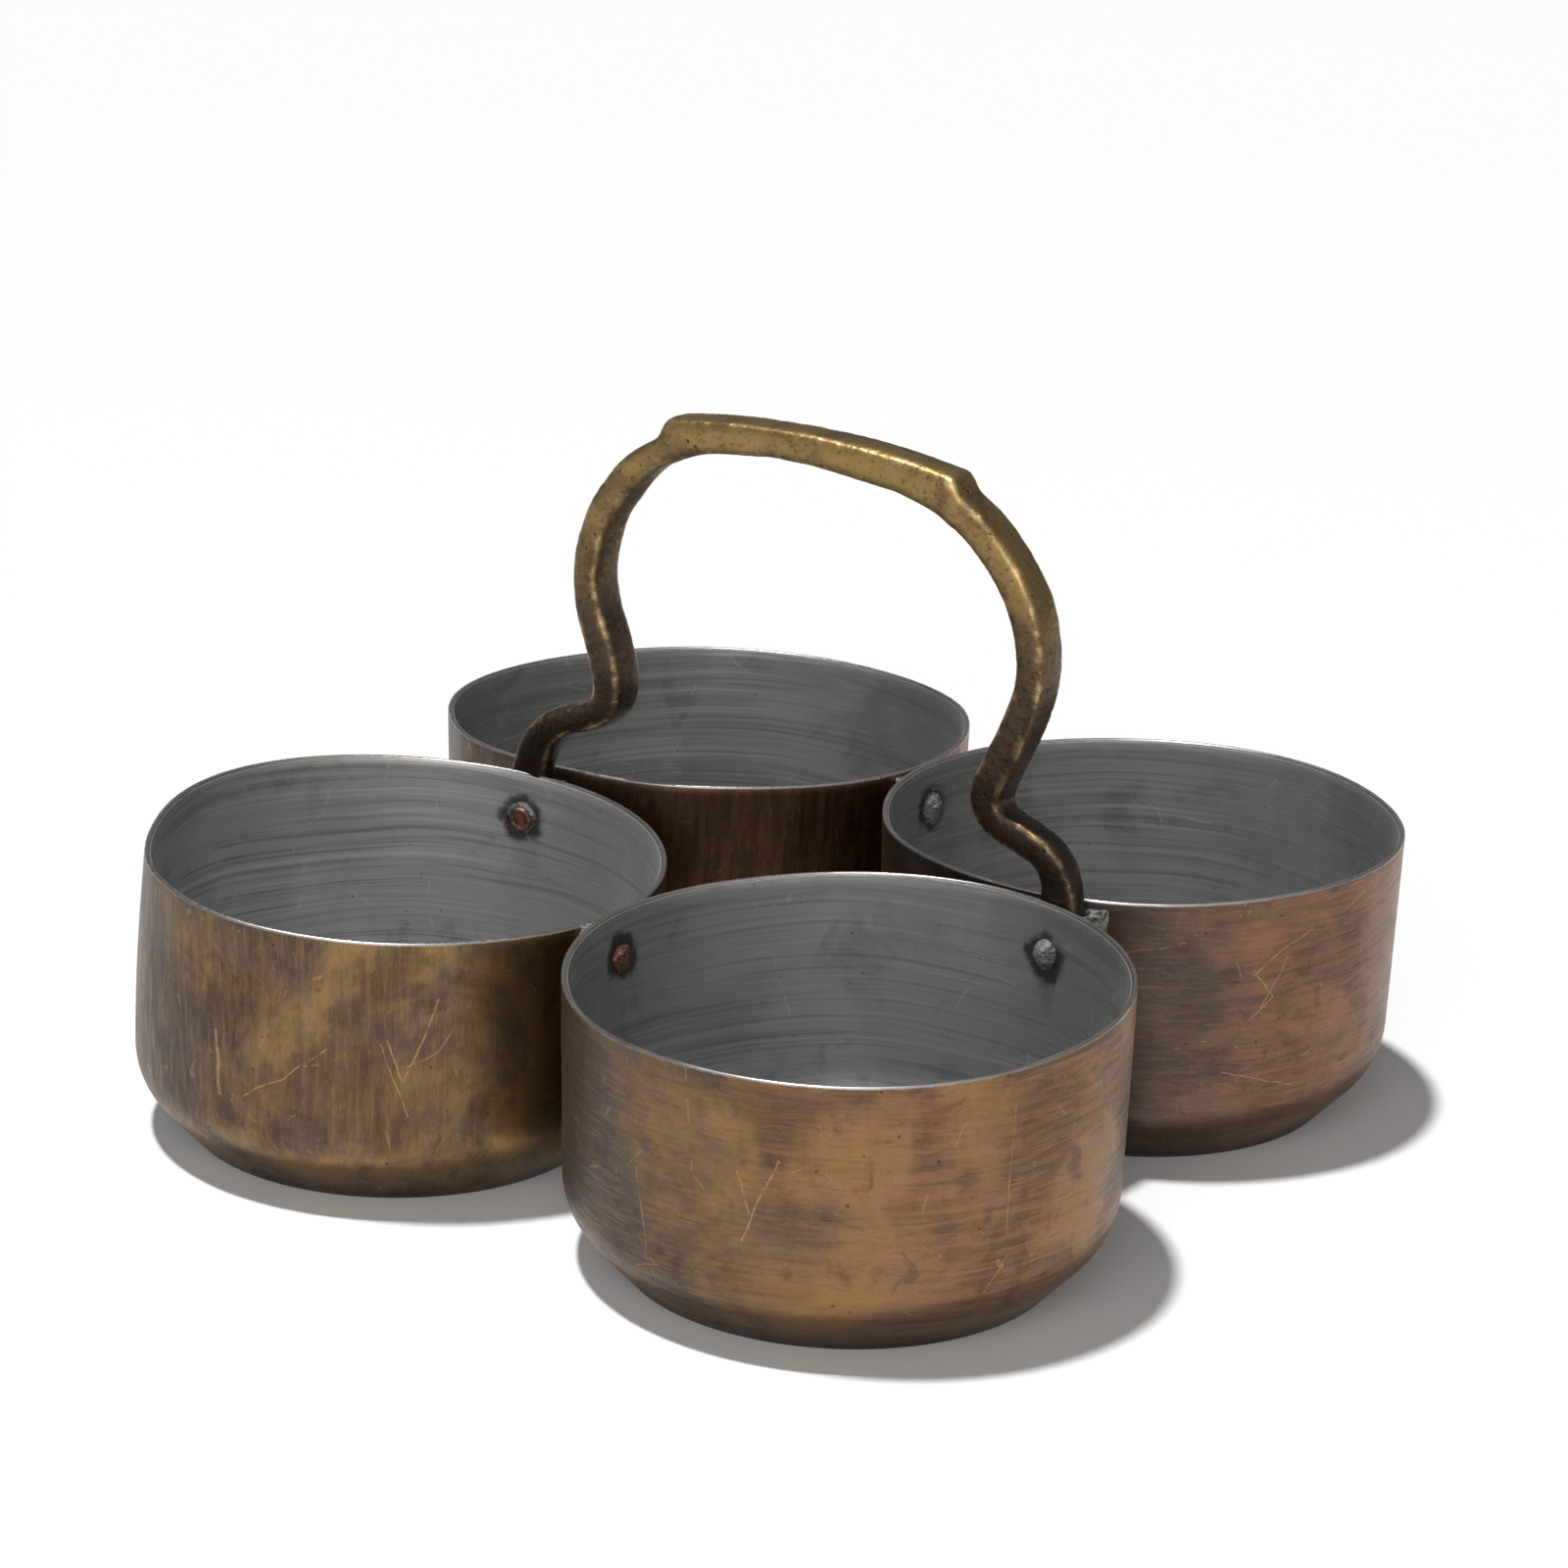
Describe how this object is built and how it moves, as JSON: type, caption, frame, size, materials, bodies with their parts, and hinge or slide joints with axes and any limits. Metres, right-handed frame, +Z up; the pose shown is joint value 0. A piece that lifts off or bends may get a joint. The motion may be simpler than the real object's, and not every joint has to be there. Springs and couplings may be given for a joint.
{
  "type": "food carrier",
  "caption": "Vintage brass food carrier: a cluster of open round tinned bowls riveted together, with one fixed cast bail handle between them.",
  "frame": {"origin": "on the floor under the middle of the box round the bowls", "axes": "+Z up, +X along the row of the left and the front bowl, towards the front bowl; +Y from the left bowl towards the back bowl"},
  "size_m": [0.2901, 0.2898, 0.1835],
  "materials": {
    "bowl_brass": "aged brass sheet with a mottled brown and golden patina, scratches and dark pits",
    "tin": "dull hot-dipped tin with fine turning rings, stains and scratches",
    "handle_brass": "cast brass, worn golden on the grip and nearly black at the feet, finely pitted",
    "copper": "hammered copper, dull red",
    "tinned_copper": "copper washer under rough tin, grimy at the edge",
    "solder": "lumpy soft solder with pale greenish corrosion"
  },
  "bodies": {
    "root": {"bowl_front": "bowl_brass", "bowl_left": "bowl_brass", "bowl_back": "bowl_brass", "bowl_right": "bowl_brass", "tin_lining_front": "tin", "tin_lining_left": "tin", "tin_lining_back": "tin", "tin_lining_right": "tin", "handle": "handle_brass", "rivet_left_front": "copper", "rivet_back_right": "copper", "rivet_left_foot": "copper", "rivet_right_foot": "copper", "rove_left_front": "tinned_copper", "rove_back_right": "tinned_copper", "rove_left_foot": "tinned_copper", "rove_right_foot": "tinned_copper", "solder_left_front": "solder", "solder_back_right": "solder", "solder_left_foot": "solder", "solder_right_foot": "solder"}
  },
  "joints": []
}
